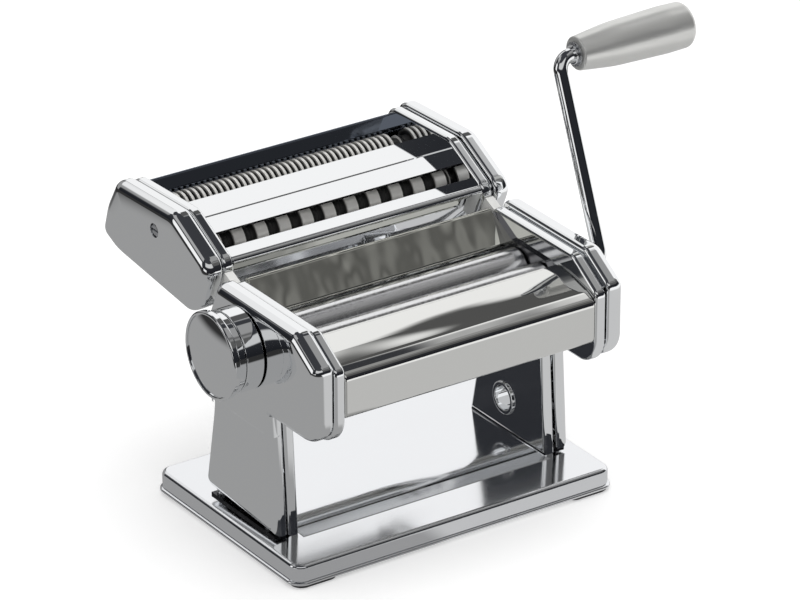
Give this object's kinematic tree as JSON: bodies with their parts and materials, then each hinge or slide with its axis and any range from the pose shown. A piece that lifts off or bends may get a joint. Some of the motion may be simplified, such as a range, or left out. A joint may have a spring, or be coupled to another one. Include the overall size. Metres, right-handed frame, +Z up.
{
  "type": "pasta machine",
  "caption": "Hand cranked pasta machine: sheet metal body on a flat base, smooth rollers with a thickness knob, removable cutter unit and a bent crank with grip.",
  "frame": {"origin": "on the table, midway between the two side legs and level with the middle of the base from front to back", "axes": "+X along the rollers towards the crank, -Y to the front where the pan-shaped housing is, +Z up"},
  "size_m": [0.2866, 0.1881, 0.2118],
  "materials": {
    "polished_steel": "mirror polished chromed sheet steel",
    "rubber": "matt moulded rubber",
    "plain_steel": "plain turned or stamped steel",
    "gear_steel": "machined steel with a light film of grease",
    "smooth_aluminium": "satin ground along the roller",
    "cutter_steel": "turned, with bright ribs and ringed grooves",
    "white_plastic": "plain moulded plastic",
    "knob_chrome": "turned, then polished and chrome plated",
    "crank_chrome": "polished chrome plated rod",
    "grip": "satin anodised"
  },
  "bodies": {
    "machine_body": {"base_plate": "polished_steel", "rubber_feet": "rubber", "foot_screws": "plain_steel", "clamp_eyelet": "polished_steel", "front_housing": "polished_steel", "rear_housing": "polished_steel", "hopper_plate": "polished_steel", "front_scraper": "white_plastic", "rear_scraper": "white_plastic", "tie_rods": "plain_steel", "tie_rod_nuts": "plain_steel", "front_bushes": "white_plastic", "adjuster_bush": "white_plastic", "gear_bridge": "plain_steel", "bridge_posts": "plain_steel", "index_ring": "knob_chrome", "index_screws": "plain_steel", "crank_collar": "polished_steel", "guide_rails": "plain_steel", "side_frame_left": "polished_steel", "side_frame_right": "polished_steel", "side_cover_left": "polished_steel", "side_cover_right": "polished_steel", "side_guards": "white_plastic"},
    "front_roller": {"front_roller": "smooth_aluminium", "front_gear": "gear_steel"},
    "crank": {"crank_rod": "crank_chrome", "drive_pin": "plain_steel", "grip_washer": "plain_steel"},
    "grip": {"crank_grip": "grip"},
    "adjuster": {"adjuster_shaft": "plain_steel"},
    "float_bushes": {"roller_bushes": "white_plastic"},
    "rear_roller": {"rear_roller": "smooth_aluminium", "rear_gear": "gear_steel"},
    "knob": {"knob_body": "knob_chrome", "knob_cap": "knob_chrome", "detent_pin": "plain_steel"},
    "cutter_unit": {"guide_channels": "white_plastic", "cutter_front_plate": "polished_steel", "cutter_roof": "polished_steel", "cutter_rear_plate": "polished_steel", "cutter_tie_rods": "plain_steel", "cutter_tie_nuts": "plain_steel", "cutter_bushes": "white_plastic", "cutter_cover_posts": "plain_steel", "cutter_cover_screws": "plain_steel", "cutter_collars": "polished_steel", "cutter_combs": "white_plastic", "cutter_frame_left": "polished_steel", "cutter_frame_right": "polished_steel", "cutter_cover_left": "polished_steel", "cutter_cover_right": "polished_steel"},
    "wide_front": {"wide_front_roller": "cutter_steel", "wide_front_gear": "gear_steel"},
    "wide_rear": {"wide_rear_roller": "cutter_steel", "wide_rear_gear": "gear_steel"},
    "fine_front": {"fine_front_roller": "cutter_steel", "fine_front_gear": "gear_steel"},
    "fine_rear": {"fine_rear_roller": "cutter_steel", "fine_rear_gear": "gear_steel"}
  },
  "joints": [
    {"name": "crank_drive", "type": "hinge", "parent": "machine_body", "child": "front_roller", "pos_m": [0, -0.0324, 0.106], "axis": [1, 0, 0], "continuous": true},
    {"name": "crank_pull", "type": "slide", "parent": "front_roller", "child": "crank", "axis": [1, 0, 0], "range_m": [0, 0.025]},
    {"name": "grip_spin", "type": "hinge", "parent": "crank", "child": "grip", "pos_m": [0.147, 0.0058, 0.2], "axis": [1, 0, 0], "continuous": true},
    {"name": "knob_turn", "type": "hinge", "parent": "machine_body", "child": "adjuster", "pos_m": [0, -0.01065, 0.106], "axis": [-1, 0, 0], "range_deg": [0, 180]},
    {"name": "knob_pull", "type": "slide", "parent": "adjuster", "child": "knob", "axis": [-1, 0, 0], "range_m": [0, 0.003], "stiffness_N_per_m": 400},
    {"name": "bush_float", "type": "hinge", "parent": "adjuster", "child": "float_bushes", "pos_m": [0, -0.0119, 0.106], "axis": [1, 0, 0], "range_deg": [0, 180]},
    {"name": "rear_roller_spin", "type": "hinge", "parent": "float_bushes", "child": "rear_roller", "pos_m": [0, -0.0119, 0.106], "axis": [1, 0, 0], "continuous": true},
    {"name": "cutter_lift", "type": "slide", "parent": "machine_body", "child": "cutter_unit", "axis": [0, -0.3993, 0.9168], "range_m": [0, 0.03]},
    {"name": "wide_front_spin", "type": "hinge", "parent": "cutter_unit", "child": "wide_front", "pos_m": [0, 0.0405, 0.1204], "axis": [1, 0, 0], "continuous": true},
    {"name": "wide_rear_spin", "type": "hinge", "parent": "cutter_unit", "child": "wide_rear", "pos_m": [0, 0.0545, 0.126], "axis": [1, 0, 0], "continuous": true},
    {"name": "fine_front_spin", "type": "hinge", "parent": "cutter_unit", "child": "fine_front", "pos_m": [0, 0.0804, 0.1226], "axis": [1, 0, 0], "continuous": true},
    {"name": "fine_rear_spin", "type": "hinge", "parent": "cutter_unit", "child": "fine_rear", "pos_m": [0, 0.0945, 0.128], "axis": [1, 0, 0], "continuous": true}
  ],
  "couplings": [
    {"joint": "rear_roller_spin", "follows": "crank_drive", "ratio": -1},
    {"joint": "bush_float", "follows": "knob_turn", "ratio": 1},
    {"joint": "wide_rear_spin", "follows": "wide_front_spin", "ratio": -1},
    {"joint": "fine_rear_spin", "follows": "fine_front_spin", "ratio": -1}
  ]
}
